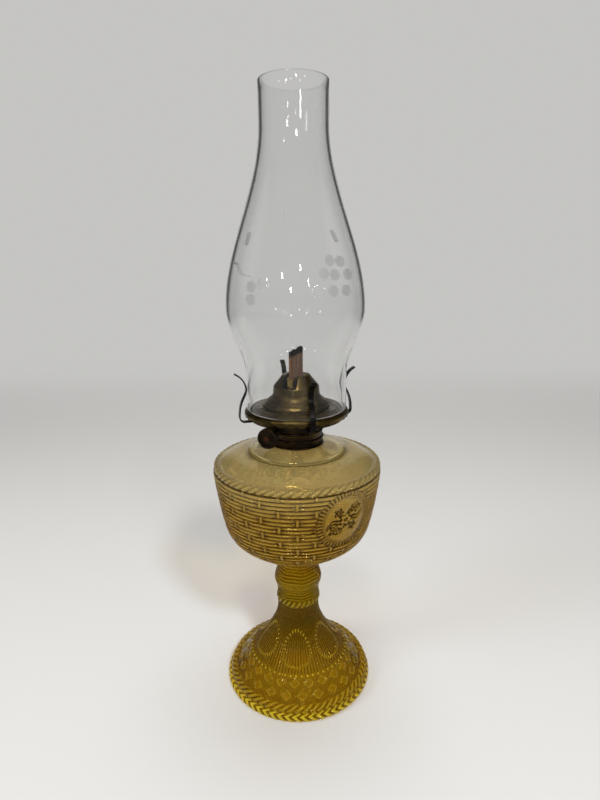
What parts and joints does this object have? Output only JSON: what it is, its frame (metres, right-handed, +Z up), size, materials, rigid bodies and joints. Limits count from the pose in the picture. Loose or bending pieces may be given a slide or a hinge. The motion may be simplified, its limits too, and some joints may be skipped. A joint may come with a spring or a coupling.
{
  "type": "oil lamp",
  "caption": "Table oil lamp with an amber pressed-glass pedestal and font, a flat-wick brass burner with winder knob and spring prongs, and a clear glass chimney.",
  "frame": {"origin": "centre of the face that the foot stands on", "axes": "+Z up along the lamp's axis, -Y towards the pictured front"},
  "size_m": [0.132, 0.1312, 0.4651],
  "materials": {
    "pedestal_glass": "pressed amber glass, thick",
    "font_glass": "pressed pale amber glass",
    "chimney_glass": "clear blown glass, etched",
    "dark_bronze": "brass darkened to bronze",
    "aged_brass": "aged brass with patina",
    "bright_brass": "brass, rubbed bright",
    "black_steel": "blackened spring steel",
    "plaster": "cast plaster",
    "wick_cotton": "woven cotton, charred at the top"
  },
  "bodies": {
    "stand": {"pedestal": "pedestal_glass", "wafer": "pedestal_glass", "font": "font_glass", "collar": "dark_bronze", "plaster": "plaster"},
    "burner": {"thread_cup": "aged_brass", "basket": "dark_bronze", "air_plate": "aged_brass", "wick_tube": "bright_brass", "wheel_box": "aged_brass", "spindle_bush": "dark_bronze", "gallery": "aged_brass", "dome": "aged_brass", "dome_tabs": "aged_brass", "prong_rivets": "dark_bronze"},
    "winder": {"spindle": "aged_brass", "spur_wheels": "aged_brass", "knob": "dark_bronze"},
    "wick_strip": {"wick": "wick_cotton"},
    "chimney_shell": {"chimney": "chimney_glass"},
    "front_prong": {"prong_front": "black_steel"},
    "right_prong": {"prong_right": "black_steel"},
    "back_prong": {"prong_back": "black_steel"},
    "left_prong": {"prong_left": "black_steel"}
  },
  "joints": [
    {"name": "burner_lift", "type": "slide", "parent": "stand", "child": "burner", "axis": [0, 0, 1], "range_m": [0, 0.12]},
    {"name": "chimney_lift", "type": "slide", "parent": "burner", "child": "chimney_shell", "axis": [0, 0, 1], "range_m": [0, 0.08]},
    {"name": "winder_turn", "type": "hinge", "parent": "burner", "child": "winder", "pos_m": [-0.00564, 0.00205, 0.2267], "axis": [-0.342, -0.9397, 0], "range_deg": [-310, 120]},
    {"name": "wick_slide", "type": "slide", "parent": "burner", "child": "wick_strip", "axis": [0, 0, 1], "range_m": [-0.024, 0.009]},
    {"name": "prong_front_flex", "type": "hinge", "parent": "burner", "child": "front_prong", "pos_m": [0.00802, -0.02994, 0.2307], "axis": [0.9659, 0.2588, 0], "range_deg": [0, 5], "stiffness_Nm_per_rad": 1.5},
    {"name": "prong_right_flex", "type": "hinge", "parent": "burner", "child": "right_prong", "pos_m": [0.02994, 0.00802, 0.2307], "axis": [-0.2588, 0.9659, 0], "range_deg": [0, 5], "stiffness_Nm_per_rad": 1.5},
    {"name": "prong_back_flex", "type": "hinge", "parent": "burner", "child": "back_prong", "pos_m": [-0.00802, 0.02994, 0.2307], "axis": [-0.9659, -0.2588, 0], "range_deg": [0, 5], "stiffness_Nm_per_rad": 1.5},
    {"name": "prong_left_flex", "type": "hinge", "parent": "burner", "child": "left_prong", "pos_m": [-0.02994, -0.00802, 0.2307], "axis": [0.2588, -0.9659, 0], "range_deg": [0, 5], "stiffness_Nm_per_rad": 1.5}
  ],
  "couplings": [
    {"joint": "winder_turn", "follows": "wick_slide", "rad_per_m": 222.22}
  ]
}
